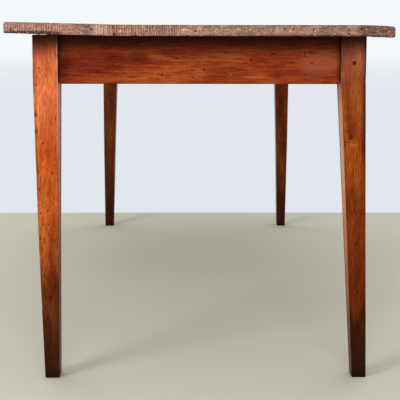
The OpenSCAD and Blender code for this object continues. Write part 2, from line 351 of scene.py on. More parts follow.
def dents(points, places, sizes, depths):
    """Depth pressed in at each point by round dents at the given places."""
    depth = np.zeros(len(points))
    for place, size, deep in zip(places, sizes, depths):
        near = np.linalg.norm(points - place, axis=1) / size
        depth = np.maximum(depth, deep * np.clip(1 - near**2, 0, 1) ** 2)
    return depth


def arris_dents(points, rng, low, high, axis, count, size, deep):
    """Depth of random dents along the four long arrises of a box."""
    places = np.where(rng.random((count, 3)) < 0.5, low, high)
    places[:, axis] = rng.uniform(low[axis], high[axis], count)
    sizes = rng.uniform(0.4, 1.0, count) * size
    return dents(points, places, sizes, rng.uniform(0.3, 1.0, count) * deep)


def lay_over(mesh, node, material):
    """Puts a mesh in the scene in place of its CAD node."""
    mesh.materials.append(material)
    piece = linked(mesh.name, mesh)
    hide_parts(node)
    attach(piece, "root")


# Depth at which a dent is at its darkest
DENT_FULL = 1.2 * MM


def add_piece(name, node, slot, points, quads, material, knocks, **levels):
    """A smooth mesh with one level from 0 to 1 at each point for each name, laid over its node."""
    mesh = bpy.data.meshes.new(name)
    mesh.from_pydata(points.tolist(), [], quads.tolist())
    levels["dent"] = knocks / DENT_FULL
    for level, values in levels.items():
        values = np.clip(values, 0, 1).astype(np.float32)
        mesh.attributes.new(level, "FLOAT", "POINT").data.foreach_set("value", values)
    mesh.shade_smooth()
    lay_over(mesh, node, material)


class Wood(Nodes):
    """A wood's material, with its place and its grain's own axes: two across it and one along."""

    def __init__(self, name, grain, seed):
        super().__init__(bpy.data.materials.new(name))
        self.seed = seed
        self.xyz = x, y, z = tuple(self.place())
        self.axes = {"X": (y, z, x), "Y": (z, x, y), "Z": (x, y, z)}[grain]

    def grain(self, offset, across, along, detail=2.0, rough=0.5):
        """Noise drawn out along the grain. across and along are in swells per metre."""
        shift = (self.seed + offset) * 7.31
        ways = zip(self.axes, (across, across, along), (1, 1.7, 0.6))
        coords = self.join(*(self.scaled(axis, swells, shift * part) for axis, swells, part in ways))
        return self.noise(coords, detail, rough)


def growth_rings(n, offset, pith, width, sway):
    """Dark late wood of the growth rings, 0 to 1. pith is the tree's middle, across the grain."""
    sides = []
    for i in (0, 1):
        bend = n.grain(offset + 11 + i, 5.0, 1.1, detail=1.0)
        sides.append(n.plus(n.axes[i], n.scaled(bend, sway, -sway / 2 - pith[i])))
    radius = n.length(n.join(*sides, 0.0))
    ripple = n.grain(offset + 13, 60.0, 4.0)
    count = n.plus(n.times(radius, 1 / width), n.times(ripple, 0.9))
    part = n.math("FRACT", count)
    late = n.times(n.remap(part, 0.35, 0.9), n.fade(part, 0.93, 1.0))
    whole = n.math("FLOOR", count)
    each = n.add("TexWhiteNoise", {"noise_dimensions": "1D"}, W=whole).outputs["Value"]
    return n.times(late, n.remap(each, 0.0, 1.0, 0.35, 1.0))


# Worm holes: points of the wood per metre, the share that are holes, their radius and darkness
HOLES_PER_METRE, HOLE_SHARE, HOLE_SIZE, HOLE_LEVEL = 80.0, 0.06, 1.0 * MM, 0.85


def worm_holes(n):
    """Round holes where random points of the wood come to the surface."""
    shift = n.seed * 3.17
    coords = n.join(*(n.scaled(axis, HOLES_PER_METRE, shift) for axis in n.axes))
    cell = n.add("TexVoronoi", Vector=coords, Scale=1.0)
    chosen = n.below(n.split(cell.outputs["Color"])[0], HOLE_SHARE)
    reach = HOLE_SIZE * HOLES_PER_METRE
    return n.times(n.fade(cell.outputs["Distance"], reach * 0.7, reach), chosen, HOLE_LEVEL)


def spots(n, across, up, places):
    """Soft marks at (place across, place up, half width, half height) in millimetres, 0 to 1."""
    total = 0.0
    for a, b, half_a, half_b in places:
        offset = n.join(
            n.scaled(across, 1 / (half_a * MM), -a / half_a),
            n.scaled(up, 1 / (half_b * MM), -b / half_b),
            0.0,
        )
        total = n.most(n.fade(n.length(offset), 0.35, 1.0), total)
    return total


def patched(n, colour, across, up, patches, where=1.0):
    """The colour under soft patches, each given as a spot, its colour and how far it covers."""
    for spot, tint, share in patches:
        colour = n.mix(n.times(spots(n, across, up, [spot]), where, share), colour, shade(*tint))
    return colour


# Levels of noise at which wood is darkest, even and brightest, and the span of its fibre noise
TONE_STOPS, SOFT_STOPS, FIBRE_SPAN = (0.36, 0.5, 0.64), (0.34, 0.5, 0.66), (0.3, 0.7)
DARK_END, BRIGHT_END = TONE_STOPS[0], TONE_STOPS[2]
# Tints of wax over the wood, as levels of red, green and blue
REDDISH, GOLDEN = (0.98, 0.74, 0.74, 1), (1.02, 1.12, 0.82, 1)
STREAK_SHARES = (1.0, 1.2, 1.3)
LATE_TINT, FLECK_TINT, EDGE_TINT = shade(182, 138, 120), shade(128, 66, 50), shade(150, 116, 100)


def waxed_wood(n, tones, rings, streaks, short=1.0):
    """Colour, blotches, fibre, late wood and flecks of waxed wood.

    tones run from dark to bright, and short is how short the grain's swells are along it.
    """
    blotch = n.grain(0, 26.0, 7.0, detail=3.0)
    hue = n.grain(6, 190.0, 70.0 * short)
    fibre = n.grain(1, 420.0, 60.0 * short, detail=3.0, rough=0.6)
    streak = n.grain(2, 230.0, 20.0 * short)
    fleck = n.remap(n.grain(3, 300.0, 90.0 * short), 0.62, 0.7)
    late = growth_rings(n, 4, *rings)
    colour = n.ramp(blotch, TONE_STOPS, [shade(*tone) for tone in tones])
    colour = n.tinted(colour, hue, DARK_END, BRIGHT_END, REDDISH, GOLDEN)
    deep, light = ([1.0 + side * streaks * share for share in STREAK_SHARES] for side in (-1, 1))
    colour = n.tinted(colour, streak, DARK_END, BRIGHT_END, (*deep, 1), (*light, 1))
    colour = n.dim(colour, n.remap(fibre, *FIBRE_SPAN, 0.8, 1.2))
    colour = n.glaze(n.times(late, 0.35), colour, LATE_TINT)
    colour = n.glaze(n.times(fleck, 0.7), colour, FLECK_TINT)
    return colour, blotch, fibre, late, fleck


def worn_marks(n, colour, marks, pit_colour, edge):
    """Darkens worm holes, dents, marks and the dirty stretches of the arrises."""
    pits = n.most(worm_holes(n), n.attribute("dent"), marks)
    worn = n.remap(n.grain(5, 80.0, 24.0), 0.4, 0.62)
    colour = n.glaze(n.times(n.attribute("arris"), worn, edge), colour, EDGE_TINT)
    return n.mix(n.times(pits, 0.85), colour, pit_colour), pits


def fibre_rough(n, fibre, low, high):
    """Roughness that follows the fibre."""
    return n.remap(fibre, 0.2, 0.8, low, high)


WAX_RELIEF, WAX_GLOSS = 0.3 * MM, 0.07


def wax_finish(n, colour, rough, fibre, late, fleck, pits):
    """Ends waxed wood, with raised fibres, and sunken late wood, flecks and pits."""
    sunk = n.plus(n.times(late, -0.25), n.times(n.most(fleck, pits), -1.0))
    return n.finish(colour, rough, n.plus(n.times(fibre, 0.5), sunk), WAX_RELIEF, WAX_GLOSS)


# Darkening of the legs towards the foot, as a level at each height in metres: dirt, and on the front legs
# also painted shade; and the level of the painted shade under the top
LEFT_DIRT_AND_SHADE = (
    (0.0, 0.06), (0.06, 0.1), (0.13, 0.13), (0.2, 0.22), (0.28, 0.55), (0.36, 0.78), (0.42, 0.74),
    (0.49, 0.98), (0.55, 1.0),
)
RIGHT_DIRT_AND_SHADE = (
    (0.0, 0.07), (0.06, 0.1), (0.11, 0.14), (0.145, 0.56), (0.2, 0.6), (0.26, 0.62), (0.32, 0.8),
    (0.4, 0.74), (0.47, 0.96), (0.6, 1.0),
)
REAR_DIRT = ((0.0, 0.3), (0.13, 0.5), (0.3, 0.85), (0.5, 1.0))
HEAD_SHADE = 0.13
# Colour of a painted sheen on the upper legs
SHEEN_TINT = (0.8, 0.4, 0.36, 1)
GRIME, GRIME_TOP = shade(48, 19, 6), 0.16
# Painted highlight on the inner arris and painted light on the face beside it, from warm low down to pale
# higher up
PALE_HIGHLIGHT, WARM_HIGHLIGHT, HIGHLIGHT_WARM_TOP, HIGHLIGHT_FADE = shade(236, 176, 140), shade(226, 138, 90), (0.3, 0.45), 0.03
# Old polish and painted shade on the outer arris, and the heights over which it comes in
POLISH_AND_SHADE, POLISH_AND_SHADE_RISE = shade(58, 27, 20), (0.38, 0.5)
LEG_PITS, APRON_PITS = shade(66, 22, 10), shade(62, 18, 8)


def leg_material(
        name, seed, tones, pith, dirt_and_shade, foot, sheen, head=(0.672, 0.723), sheen_band=(0.6, 0.69), dark=0.0,
        patches=(), marks=(), pale=(0.0, 0.2, 0.6), face_light=((0.0, 0.0), (1.0, 0.0))):
    """Waxed wood with its grain up the leg, darker towards the foot with dirt and, on the front legs,
    painted shade.

    foot is where the wet has stained the foot, as two heights and a level, and sheen how rough
    the face towards the table's middle is. head gives the heights between which painted shade
    under the top darkens it, sheen_band those over which a painted sheen is mixed in, and dark
    how far the outer arris is dark with old polish and painted shade. pale is how far the arris
    towards the middle gets a painted highlight, and between which heights, and face_light how
    far the face beside it gets painted light, at each height.
    """
    n = Wood(name, "Z", seed)
    x, _, z = n.xyz
    colour, blotch, fibre, late, fleck = waxed_wood(n, tones, (pith, 3.4 * MM, 16 * MM), streaks=0.12)
    wavy = n.scaled(n.grain(7, 60.0, 16.0), 0.8, 0.6)
    front = n.attribute("front")
    colour = patched(n, colour, x, z, patches, front)
    # The outer arris, dark with old polish and painted shade
    polish_and_shade = n.times(n.remap(n.attribute("outside"), 0.0, 1.0), n.remap(z, *POLISH_AND_SHADE_RISE), wavy, dark)
    colour = n.mix(polish_and_shade, colour, POLISH_AND_SHADE)
    marks = n.times(spots(n, x, z, marks), front)
    colour, pits = worn_marks(n, colour, marks, LEG_PITS, 0.5)
    # Darker towards the foot: dirt, and on the front legs painted shade too
    dirty = n.level(n.plus(z, n.scaled(blotch, 0.14, -0.07)), dirt_and_shade)
    colour = n.dim(colour, dirty)
    colour = n.mix(n.remap(z, 0.0, GRIME_TOP, 0.6, 0.0), colour, GRIME)
    colour = n.dim(colour, n.remap(z, *foot, 1.0))
    # Painted sheen on the upper leg
    colour = n.mix(n.remap(z, *sheen_band, 0.0, 0.08), colour, SHEEN_TINT)
    # Painted shade under the top
    colour = n.dim(colour, n.remap(z, *head, 1.0, HEAD_SHADE))
    facing_in = n.attribute("facing_in")
    # Painted highlight on the arris towards the middle, and painted light on the face beside it
    share, lowest, highest = pale
    bare = n.times(n.attribute("inside"), share, dirty)
    bare = n.times(bare, n.remap(z, lowest - HIGHLIGHT_FADE, lowest), n.fade(z, highest, highest + HIGHLIGHT_FADE))
    bare = n.most(bare, n.times(facing_in, n.level(z, face_light)))
    colour = n.mix(n.times(bare, wavy), colour, n.mix(n.remap(z, *HIGHLIGHT_WARM_TOP), WARM_HIGHLIGHT, PALE_HIGHLIGHT))
    # Painted shade towards the back of the face towards the middle
    behind = n.times(n.attribute("behind"), facing_in)
    colour = n.dim(colour, n.scaled(behind, -0.6, 1.0))
    # Painted shade in the corner where the face towards the middle meets the apron
    corner = n.times(n.remap(facing_in, 0.6, 1.0), n.remap(z, APRON_Z, APRON_Z + 8 * MM))
    colour = n.dim(colour, n.scaled(corner, -0.8, 1.0))
    waxy = n.plus(fibre_rough(n, fibre, 0.36, 0.52), n.times(pits, 0.3))
    rough = n.blend(facing_in, waxy, n.scaled(behind, 0.3, sheen))
    return wax_finish(n, colour, rough, fibre, late, fleck, pits)


APRON_TONES = (112, 37, 12), (145, 58, 22), (170, 81, 37)
APRON_RINGS = ((-0.65, 0.56), 4.2 * MM, 24 * MM)


def apron_material(name, grain, seed, marks=(), patches=()):
    """Darker waxed wood with its grain along the apron, with painted shade under the top, on its faces
    towards the middle and near the legs.
    """
    n = Wood(name, grain, seed)
    along, z = n.axes[2], n.xyz[2]
    colour, blotch, fibre, late, fleck = waxed_wood(n, APRON_TONES, APRON_RINGS, streaks=0.17, short=0.8)
    colour = patched(n, colour, along, z, patches)
    colour, pits = worn_marks(n, colour, spots(n, along, z, marks), APRON_PITS, 0.4)
    # Painted shade under the top
    height = n.plus(z, n.scaled(blotch, 0.05, -0.025))
    shade_under_top = n.remap(height, 0.684, 0.722, 1.0, 0.18)
    lower_edge = n.remap(z, APRON_Z + 0.5 * MM, APRON_Z + 3 * MM, 0.45, 1.0)
    # Painted shade on the faces towards the table's middle
    inner_shade = n.remap(n.attribute("inner"), 0.3, 0.9, 1.0, 0.6)
    # Painted shade near the ends, in the corners by the legs
    for level in (shade_under_top, lower_edge, inner_shade, n.scaled(n.attribute("joint"), -0.4, 1.0)):
        colour = n.dim(colour, level)
    rough = n.plus(fibre_rough(n, fibre, 0.38, 0.54), n.times(pits, 0.3))
    return wax_finish(n, colour, rough, fibre, late, fleck, pits)


# Stains on the front end of the top, and painted shade along its lower arris: (place, height, half
# width, half height) in millimetres, their colour and how far it covers the wood
END_STAINS_AND_SHADE = (
    ((-330, 744, 62, 20), (178, 130, 110), 0.5),
    ((-268, 744, 20, 20), (182, 130, 104), 0.6),
    ((-228, 742, 14, 16), (118, 95, 96), 0.5),
    ((-196, 744, 17, 13), (206, 168, 140), 0.65),
    ((-168, 744, 9, 12), (180, 96, 64), 0.55),
    ((-132, 744, 20, 20), (178, 128, 106), 0.6),
    ((88, 744, 30, 20), (148, 116, 96), 0.6),
    ((196, 742.5, 12, 6), (198, 118, 82), 0.6),
    ((270, 740, 30, 14), (120, 86, 78), 0.5),
    ((350, 740, 38, 16), (88, 62, 55), 0.7),
    ((377, 738.5, 8, 6), (146, 80, 58), 0.6),
    # Painted shade along the lower arris of the lifted left board
    ((-336, 734.5, 66, 5), (52, 30, 25), 0.9),
    ((235, 752, 190, 2.4), (84, 58, 50), 0.7),
    # Painted shade along the lower arris at the right
    ((235, 729.5, 190, 2.6), (76, 50, 44), 0.75),
)
# How far a stain or painted shade spreads past its own size, and the level of its spot at which it is full
SPOT_SPREAD, SPOT_FULL = 1.3, 0.7
END_PORES = (
    (-376, 740, 3, 3), (-363, 748, 2, 2), (-217, 742, 4, 4), (-9, 739, 2.2, 2.2), (170, 743, 3, 3),
    (187, 743, 2.6, 3), (202, 743, 2.4, 2.6), (194, 737, 2.4, 1.8), (181, 748, 2, 1.6), (227, 742, 1.5, 6),
    (298, 734, 4, 2.6), (322, 743, 4, 3.4), (345, 737, 12, 2), (366, 741, 6, 2.6),
)
END_CHIPS = (
    (-366, 742, 2.2, 2), (-322, 744, 3, 3.4), (-158, 739, 4, 2.4), (-168, 733, 1.6, 3.6),
    (-8, 735, 3, 1.6), (-33, 741, 3, 3), (180, 740, 2, 3), (230, 739, 1.4, 3), (378.5, 738.5, 2, 2),
)
END_TONES = shade(138, 104, 90), shade(157, 120, 104), shade(172, 132, 114)
BRIGHT_PORE, DARK_PORE, DEEP_PORE, CHIP = (
    shade(226, 192, 168), shade(92, 60, 50), shade(70, 38, 30), shade(238, 208, 184))
# How strongly the saw marks stand out across the end of the top, from its left to its right edge
HATCHING = (
    (0.0, 0.4), (0.04, 0.7), (0.13, 0.75), (0.145, 0.15), (0.23, 0.2), (0.25, 0.8), (0.36, 0.9),
    (0.45, 1.0), (0.48, 0.35), (0.58, 0.2), (0.65, 0.4), (0.74, 0.3), (0.78, 0.1), (1.0, 0.2),
)
WHITE, DEEP_CUT, LIGHT_CUT = (1, 1, 1, 1), (0.5, 0.42, 0.4, 1), (1.42, 1.4, 1.38, 1)
SAW_PITCH, SAW_BEND = 4.7 * MM, 9.0
# Middle of the red fan of rays in the end grain, where its hole is, the fan's reach and its rays
FAN_FOOT = (-9 * MM, 736 * MM)
FAN_REACH = ((-12, 742, 26, 13),)
DARK_RAY, LIGHT_RAY = shade(176, 92, 66), shade(226, 172, 146)


def end_noise(n, offset, per_x, per_z, detail=1.0):
    x, y, z = n.xyz
    shift = (n.seed + offset) * 5.7
    return n.noise(n.join(n.scaled(x, per_x, shift), n.times(y, 8.0), n.scaled(z, per_z, shift)), detail)


def ray_fan(n, x, z):
    """Light and dark rays round the fan's foot, and how much of the fan is at a point."""
    angle = n.math("ARCTAN2", n.plus(x, -FAN_FOOT[0]), n.plus(z, -FAN_FOOT[1]))
    rays = n.noise(n.join(n.times(angle, 9.0), n.times(z, 60.0), 0.0), 1.0)
    rays = n.mix(n.remap(rays, 0.38, 0.62), DARK_RAY, LIGHT_RAY)
    return rays, n.remap(spots(n, x, z, FAN_REACH), 0.1, 0.7)


def end_grain(n, late):
    """Rough end grain: upright saw marks, pores and stains. Gives its colour and its relief."""
    x, y, z = n.xyz
    uneven = end_noise(n, 1, 240.0, 60.0)
    bend = n.scaled(end_noise(n, 6, 70.0, 30.0), SAW_BEND, uneven)
    hatch = n.scaled(n.math("SINE", n.scaled(x, math.tau / SAW_PITCH, bend)), 0.3, uneven)
    streak = end_noise(n, 2, 44.0, 330.0, 2.0)
    pore = end_noise(n, 3, 430.0, 330.0, 2.0)
    mottle = end_noise(n, 4, 24.0, 46.0, 3.0)
    sway = n.scaled(end_noise(n, 5, 17.0, 30.0), 0.05, 0.475)
    hatched = n.level(n.scaled(x, 1 / (EDGE_RIGHT - EDGE_LEFT), sway), HATCHING)
    grain = n.ramp(mottle, SOFT_STOPS, END_TONES)
    at_front = n.below(y, 0.0)
    # Stains, and the painted shade along the lower arris
    for (a, b, half_a, half_b), stain, share in END_STAINS_AND_SHADE:
        spot = spots(n, x, z, [(a, b, half_a * SPOT_SPREAD, half_b * SPOT_SPREAD)])
        grain = n.mix(n.times(n.remap(spot, 0.0, SPOT_FULL), at_front, share), grain, shade(*stain))
    rays, fan = ray_fan(n, x, z)
    grain = n.mix(n.times(fan, at_front, 0.55), grain, rays)
    cut = n.mix(n.remap(hatch, 0.2, 0.8), DEEP_CUT, LIGHT_CUT)
    grain = n.dim(grain, n.mix(hatched, WHITE, cut))
    grain = n.dim(grain, n.blend(hatched, n.remap(streak, *SOFT_STOPS[::2], 0.74, 1.26), 1.0))
    grain = n.glaze(n.times(late, 0.3), grain, shade(160, 132, 118))
    grain = n.mix(n.times(n.remap(pore, 0.58, 0.68), 0.55), grain, BRIGHT_PORE)
    grain = n.mix(n.times(n.fade(pore, 0.32, 0.42), 0.6), grain, DARK_PORE)
    grain = n.mix(n.times(spots(n, x, z, END_CHIPS), at_front, 0.65), grain, CHIP)
    grain = n.mix(n.times(spots(n, x, z, END_PORES), at_front, 0.85), grain, DEEP_PORE)
    return grain, n.plus(n.times(hatch, hatched, 1.2), n.times(streak, 0.6), pore)


# Streaks of the top's upper face: swells per metre across and along it, and their darkest level
UPPER_STREAKS = (
    (34.0, 1.3, (0.8, 0.76, 0.74, 1)), (95.0, 2.4, (0.74, 0.7, 0.67, 1)), (260.0, 9.0, (0.86, 0.83, 0.8, 1)),
)
UPPER_TONES = shade(126, 82, 56), shade(150, 101, 71), shade(168, 119, 88)
UPPER_STAIN, SEAM_DIRT, TOP_PITS = shade(74, 48, 36), shade(42, 26, 19), shade(48, 26, 17)


def upper_face(n, blotch, fibre, late):
    """Scrubbed and stained wax of the top's upper face."""
    face = n.ramp(blotch, SOFT_STOPS, UPPER_TONES)
    for i, (across, along, darkest) in enumerate(UPPER_STREAKS):
        streak = n.grain(2 + 9 * i, across, along, detail=3.0)
        face = n.tinted(face, streak, DARK_END, BRIGHT_END, darkest, (1.1, 1.1, 1.1, 1))
    face = n.dim(face, n.remap(fibre, *FIBRE_SPAN, 0.8, 1.18))
    face = n.glaze(n.times(late, 0.5), face, shade(160, 124, 104))
    stain = n.remap(n.grain(6, 12.0, 7.0, detail=5.0), 0.6, 0.68)
    face = n.mix(n.times(stain, 0.4), face, UPPER_STAIN)
    return n.mix(n.times(n.attribute("seam"), 0.85), face, SEAM_DIRT)


def sawn_face(n, blotch, fibre, late):
    """Bare wood with the marks of the saw across its grain."""
    bare = n.ramp(blotch, SOFT_STOPS[::2], (shade(112, 80, 56), shade(158, 120, 88)))
    bare = n.dim(bare, n.remap(fibre, *FIBRE_SPAN, 0.8, 1.15))
    sawn = n.grain(7, 10.0, 190.0)
    bare = n.dim(bare, n.remap(sawn, 0.35, 0.6, 0.75, 1.08))
    return n.glaze(n.times(late, 0.5), bare, shade(150, 120, 100))


def top_material(name, seed, pith, level):
    """A board of the top: worn wax above, rough end grain at its ends, and bare wood below.

    level is how light its upper face is beside the other boards.
    """
    n = Wood(name, "Y", seed)
    late = growth_rings(n, 4, pith, 3.0 * MM, 14 * MM)
    blotch = n.grain(0, 14.0, 3.0, detail=4.0)
    fibre = n.grain(1, 520.0, 12.0, detail=3.0, rough=0.6)
    end, under = n.attribute("end"), n.attribute("under")
    grain, end_relief = end_grain(n, late)
    colour = n.dim(upper_face(n, blotch, fibre, late), level)
    colour = n.mix(under, colour, sawn_face(n, blotch, fibre, late))
    colour = n.mix(end, colour, grain)
    colour, pits = worn_marks(n, colour, 0.0, TOP_PITS, 0.45)
    rough = n.blend(n.most(end, under), fibre_rough(n, fibre, 0.4, 0.58), 0.82)
    relief = n.plus(n.times(fibre, 0.5), n.times(late, 0.3), n.times(pits, -1.0))
    return n.finish(colour, rough, n.blend(end, relief, end_relief), 0.4 * MM, gloss=0.15)


def bare_material(name, grain, seed):
    """Unfinished inner wood."""
    n = Wood(name, grain, seed)
    late = growth_rings(n, 0, (-0.3, 0.62), 4 * MM, 18 * MM)
    blotch = n.grain(3, 18.0, 4.0, detail=3.0)
    fibre = n.grain(1, 420.0, 10.0, detail=3.0)
    colour = sawn_face(n, blotch, fibre, late)
    return n.finish(colour, fibre_rough(n, fibre, 0.7, 0.85), fibre, 0.3 * MM, gloss=0.15)


def even_noise(n, per_metre, detail=2.0):
    x, y, z = n.place()
    return n.noise(n.join(*(n.times(axis, per_metre) for axis in (x, y, z))), detail)


# The pegs of the left front leg's front face lie left of the table's middle and in front of here
FRONT_PEG_Y = -0.73


def peg_material(name):
    """End grain of the pegs, black with old wax, but like the leg itself at the front left."""
    n = new_material(name)
    x, y, _ = n.place()
    fine = even_noise(n, 900.0)
    dark = n.ramp(fine, (0.35, 0.65), (shade(52, 18, 10), shade(96, 40, 22)))
    light = n.ramp(fine, (0.35, 0.65), (shade(190, 84, 40), shade(222, 112, 58)))
    colour = n.mix(n.times(n.below(x, 0.0), n.below(y, FRONT_PEG_Y)), dark, light)
    return n.finish(colour, n.remap(fine, 0.3, 0.7, 0.4, 0.6), fine, 0.2 * MM, gloss=0.1)


def iron_material(name):
    """Hammered dark iron with a little rust."""
    n = new_material(name)
    pitted = even_noise(n, 700.0, 3.0)
    rust = even_noise(n, 240.0, 3.0)
    colour = n.mix(n.remap(rust, 0.5, 0.66), shade(52, 48, 46), shade(104, 62, 40))
    return n.finish(colour, n.remap(rust, 0.4, 0.7, 0.45, 0.8), pitted, 0.3 * MM, gloss=0.5, metal=0.7)


# Gap under the boards, and how far an apron's hidden ends run into the legs
SEAT, HIDDEN_END = 0.2 * MM, 1 * MM
# Legs: steps of the skin, unevenness of their faces, and their dents' count, size and depth
LEG_STEPS, LEG_PLANED = (4 * MM, 4 * MM, 5 * MM), (0.11 * MM, (0.016, 0.016, 0.09))
LEG_DENTS = (26, 6 * MM, 1.1 * MM)
# Mean radius of a leg's worn arrises, how it varies, over what lengths, and its least
LEG_WEAR, LEG_WEAR_SWAY, LEG_WEAR_RUN, LEG_WEAR_LEAST = 1.5 * MM, 1.1 * MM, (0.2, 0.2, 0.045), 0.5 * MM
# How much rounder the arrises are at the floor, and up to where, and where the head keeps them
FOOT_WEAR, FOOT_REACH, HEAD_REACH = 1.3 * MM, 20 * MM, 8 * MM
# How far the painted highlight on the inner arris, the darkening of the outer one by old polish and painted
# shade, and the painted shade behind a leg reach
HIGHLIGHT_REACH, DARK_REACH, BEHIND_REACH = 3.6 * MM, 13 * MM, 18 * MM
FRONT_EASE = 1.4
# How far a leg's planed faces stand out past its node's, in millimetres: its left and its right
# face, at the foot and half way up
FULLNESS = {
    "leg_front_left": ((1.2, 1.5), (1.6, -0.5)),
    "leg_front_right": ((1.5, 1.0), (0.0, -0.4)),
    "leg_rear_left": ((1.6, 1.1), (1.1, -1.0)),
    "leg_rear_right": ((1.6, 1.0), (-1.1, 1.0)),
}


def worn_leg(node, seed, proud, material):
    """A leg's block with its arrises worn, tapered to the node's own sections.

    proud is how far its head stands up into the gap under a lifted board.
    """
    rng = np.random.default_rng(seed)
    turns = [section(node, height) for height in LEG_TURNS]
    for (near, far), (left, right) in zip(turns, FULLNESS[node]):
        near[0] -= left * MM
        far[0] += right * MM
    low = np.array([*turns[-1][0][:2], 0])
    high = np.array([*turns[-1][1][:2], UNDERSIDE - SEAT + proud])
    side = math.copysign(1, low[0])
    inner, outer = (low[0], high[0]) if side > 0 else (high[0], low[0])
    points, quads, arris = box_skin(low, high, LEG_STEPS)
    levels = {
        "arris": arris,
        "behind": closeness(points[:, 1] - high[1], BEHIND_REACH),
        "inside": closeness(np.hypot(points[:, 0] - inner, points[:, 1] - low[1]), HIGHLIGHT_REACH),
        "outside": closeness(points[:, 0] - outer, DARK_REACH),
    }
    wear = LEG_WEAR + LEG_WEAR_SWAY * waves(points, LEG_WEAR_RUN, seed)
    wear += FOOT_WEAR * np.clip(1 - points[:, 2] / FOOT_REACH, 0, 1)
    kept = np.clip((high[2] - points[:, 2]) / HEAD_REACH, 0.1, 1)
    points, out = rounded(points, low, high, np.maximum(wear, LEG_WEAR_LEAST) * kept)
    planed = planed_off(points, LEG_PLANED, seed + 1)
    knocks = arris_dents(points, rng, low, high, 2, *LEG_DENTS)
    points = points - out * (planed + knocks)[:, None]
    heights = points[:, 2]
    for axis in (0, 1):
        near, far = (np.interp(heights, LEG_TURNS, [turn[i][axis] for turn in turns]) for i in (0, 1))
        share = (points[:, axis] - low[axis]) / (high[axis] - low[axis])
        points[:, axis] = near + share * (far - near)
    points[:, 2] += heights / high[2] * np.minimum(0, rise(points[:, 0]))
    add_piece("waxed_" + node, node, "leg_wood", points, quads, material, knocks,
              facing_in=-out[:, 0] * side, front=-FRONT_EASE * out[:, 1], **levels)


# Aprons: mean radius of their worn arrises, how it varies, and how near the ends it is kept
APRON_WEAR, APRON_WEAR_SWAY, APRON_KEPT = 1.3 * MM, 0.8 * MM, 12 * MM
# The last of these is how far the painted shade reaches along an apron from its legs
APRON_PLANED, APRON_DENTS, JOINT_SHADE_REACH = 0.12 * MM, (16, 6 * MM, 0.9 * MM), 6 * MM


def worn_apron(node, axis, step, seed, material):
    """An apron between its two legs. axis is the one that it runs along, 0 or 1."""
    rng = np.random.default_rng(seed)
    low, high = node_box(node)
    reach = section("leg_rear_right", APRON_Z)[0][axis] + HIDDEN_END
    low[axis], high[axis] = -reach, reach
    high[2] = UNDERSIDE - SEAT
    steps, run, swell = [7 * MM, 7 * MM, 4 * MM], [0.2, 0.2, 0.2], [0.02, 0.02, 0.022]
    steps[axis], run[axis], swell[axis] = step, 0.06, 0.12
    points, quads, arris = box_skin(low, high, steps)
    from_end = reach - np.abs(points[:, axis])
    wear = APRON_WEAR + APRON_WEAR_SWAY * waves(points, run, seed)
    points, out = rounded(points, low, high, wear * np.clip(from_end / APRON_KEPT, 0.15, 1))
    planed = planed_off(points, (APRON_PLANED, swell), seed + 1)
    knocks = arris_dents(points, rng, low, high, axis, *APRON_DENTS)
    points = points - out * (planed + knocks)[:, None]
    if axis == 1:
        points[:, 2] += (points[:, 2] - low[2]) / (high[2] - low[2]) * rise(points[:, 0])
    inward = -np.sign(low[1 - axis] + high[1 - axis])
    add_piece("waxed_" + node, node, "apron_wood", points, quads, material, knocks, arris=arris,
              inner=out[:, 1 - axis] * inward, joint=closeness(from_end - HIDDEN_END, JOINT_SHADE_REACH))


# Radii of the top's plan corners and of its long edges, above, and below at the left and right
CORNER_R, EDGE_UPPER_R, EDGE_LOWER_R = 9 * MM, 5 * MM, {-1: 3.2 * MM, 0: 0.0, 1: 5 * MM}
OWN_EDGE_REACH, END_REACH, FAR_AWAY = 12 * MM, 8 * MM, 1.0
# Worn radii of the boards' ends and seams, above and below, and how the ends' varies
END_WEAR, SEAM_WEAR, END_WEAR_SWAY = (1.7 * MM, 0.8 * MM), (1.0 * MM, 0.4 * MM), 0.5 * MM
END_WEAR_RUN = (0.03, 0.2, 0.2)
# How far the boards' seams close at the ends, over what run, how far past them an end is worn,
# and how wide the dirt along them is
SEAM_CLOSE, SEAM_RUN, SEAM_SQUARE, SEAM_REACH = 0.22 * MM, 20 * MM, 6 * MM, 2.6 * MM
# How the share of end grain rises as an arris turns towards the end
END_SLOPE, END_SHIFT = 1.6, 0.5
# How far the ends of the upper face are scrubbed down right of the left board, and over what runs
SCRUBBED, SCRUBBED_RUN, SCRUBBED_EASE = 0.4 * MM, 250 * MM, 100 * MM
# Unevenness of the boards all over, on their faces and twice at their ends: depth and size
BOARD_STEPS = (2.6 * MM, 18 * MM, 3 * MM)
BOARD_PLANED, BOARD_HOLLOWS = (0.1 * MM, (0.006, 0.2, 0.02)), (0.2 * MM, (0.05, 0.35, 0.05))
HOLLOW_EASE = 60 * MM
END_RELIEFS = ((0.16 * MM, (0.005, 0.1, 0.03)), (0.2 * MM, (0.008, 0.1, 0.006)))
END_DENTS, EDGE_DENTS = (22, 7 * MM, 1.3 * MM), (24, 9 * MM, 1.1 * MM)
# Marks pressed into the front end of the top while it is still flat: place across, height, size
# and depth in millimetres
END_MARKS = (
    (-376, 736, 5, 1.0), (-322, 740.5, 3.2, 1.0), (-170, 732.5, 5, 2.4), (-9, 738.6, 2.6, 3.0),
    (227, 742, 3.2, 1.6),
)
# Where the underside swells at the front end: place across, reach and depth in millimetres
SWELLINGS = ((-316, 60, 0.6), (352, 26, 1.3), (376, 30, 0.8))


def board_wear(points, side, own_edge, upper, at_end, seed):
    """Radius to which a board's arris is worn at each point."""
    end_wear = np.where(upper, *END_WEAR) + END_WEAR_SWAY * waves(points, END_WEAR_RUN, seed)
    wear = np.where(at_end, end_wear, np.where(upper, *SEAM_WEAR))
    return np.where(own_edge < OWN_EDGE_REACH, np.where(upper, EDGE_UPPER_R, EDGE_LOWER_R[side]), wear)


